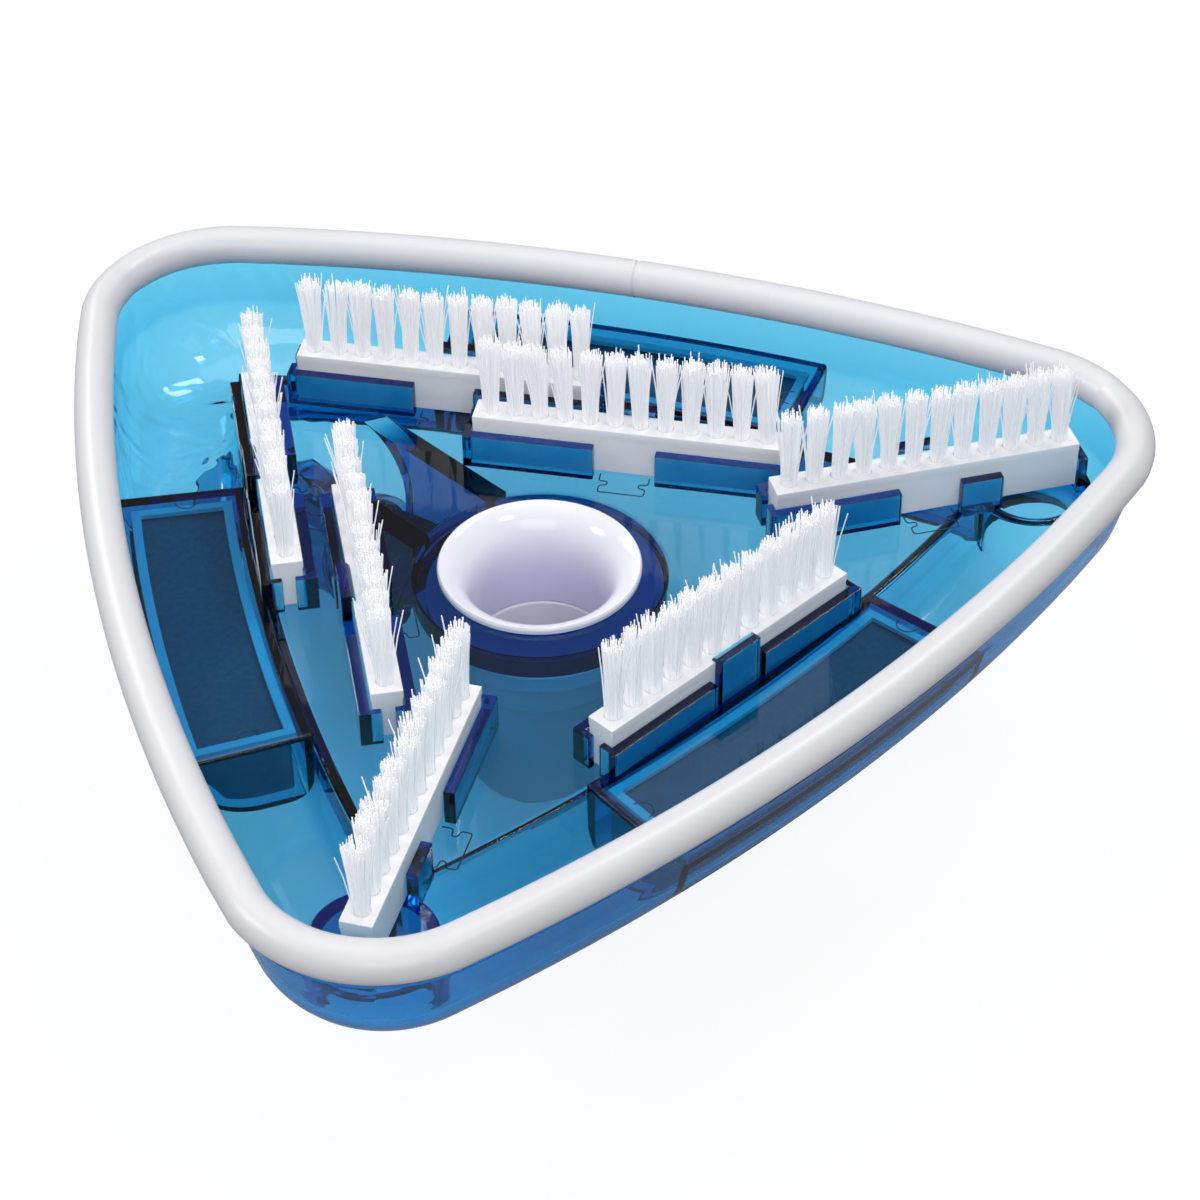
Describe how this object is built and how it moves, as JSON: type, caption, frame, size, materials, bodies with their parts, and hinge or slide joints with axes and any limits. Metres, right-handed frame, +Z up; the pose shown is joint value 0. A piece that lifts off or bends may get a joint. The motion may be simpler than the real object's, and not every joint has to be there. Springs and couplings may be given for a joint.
{
  "type": "manual pool vacuum head",
  "caption": "Weighted triangular pool vacuum head on its back: translucent dish, edge bumper, bristle strips, swivel hose port and folding pole handle.",
  "frame": {"origin": "centre of the bounding box on the floor that the hose port stands on", "axes": "+Z up out of the dish towards the bristles, +Y towards the rear corner that the pole handle folds to, +X to the right"},
  "size_m": [0.2846, 0.2676, 0.0987],
  "materials": {
    "translucent_blue": "clear tinted injection moulding, polished",
    "cover_blue": "clear tinted injection moulding, polished",
    "white_vinyl": "soft extruded vinyl, satin",
    "white_plastic": "moulded, glossy",
    "white_strip": "moulded, satin",
    "white_bristle": "nylon filament",
    "cast_weight": "coated casting",
    "grey_silicone": "moulded washer",
    "stainless_steel": "turned and polished"
  },
  "bodies": {
    "head": {"body_shell": "translucent_blue", "bristles_corner_left": "white_bristle", "bristles_corner_right": "white_bristle", "bristles_front": "white_bristle", "bristles_inner_left": "white_bristle", "bristles_inner_right": "white_bristle", "bristles_outer_left": "white_bristle", "bristles_outer_right": "white_bristle", "brush_strip_corner_left": "white_strip", "brush_strip_corner_right": "white_strip", "brush_strip_front": "white_strip", "brush_strip_inner_left": "white_strip", "brush_strip_inner_right": "white_strip", "brush_strip_outer_left": "white_strip", "brush_strip_outer_right": "white_strip", "bumper": "white_vinyl", "pivot_nut": "stainless_steel", "pivot_pin": "stainless_steel", "swivel_seal": "grey_silicone", "weight_cover_front": "cover_blue", "weight_cover_left": "cover_blue", "weight_cover_right": "cover_blue", "weight_front": "cast_weight", "weight_left": "cast_weight", "weight_right": "cast_weight"},
    "hose_port": {"hose_nozzle": "white_plastic", "hub_throat": "white_plastic"},
    "handle": {"clip_spring": "stainless_steel", "pole_handle": "translucent_blue"},
    "button_left": {"snap_button_left": "stainless_steel"},
    "button_right": {"snap_button_right": "stainless_steel"}
  },
  "joints": [
    {"name": "hose_port_swivel", "type": "hinge", "parent": "head", "child": "hose_port", "pos_m": [0, -0.02475, 0.064], "axis": [0, 0, 1], "continuous": true},
    {"name": "handle_hinge", "type": "hinge", "parent": "head", "child": "handle", "pos_m": [0, 0.02525, 0.034], "axis": [-1, 0, 0], "range_deg": [-10, 90]},
    {"name": "snap_button_left_press", "type": "slide", "parent": "handle", "child": "button_left", "axis": [1, 0, 0], "range_m": [0, 0.0042], "stiffness_N_per_m": 600, "springref_m": -0.003, "deforming": ["clip_spring"]},
    {"name": "snap_button_right_press", "type": "slide", "parent": "handle", "child": "button_right", "axis": [-1, 0, 0], "range_m": [0, 0.0042], "stiffness_N_per_m": 600, "springref_m": -0.003, "deforming": ["clip_spring"]}
  ]
}
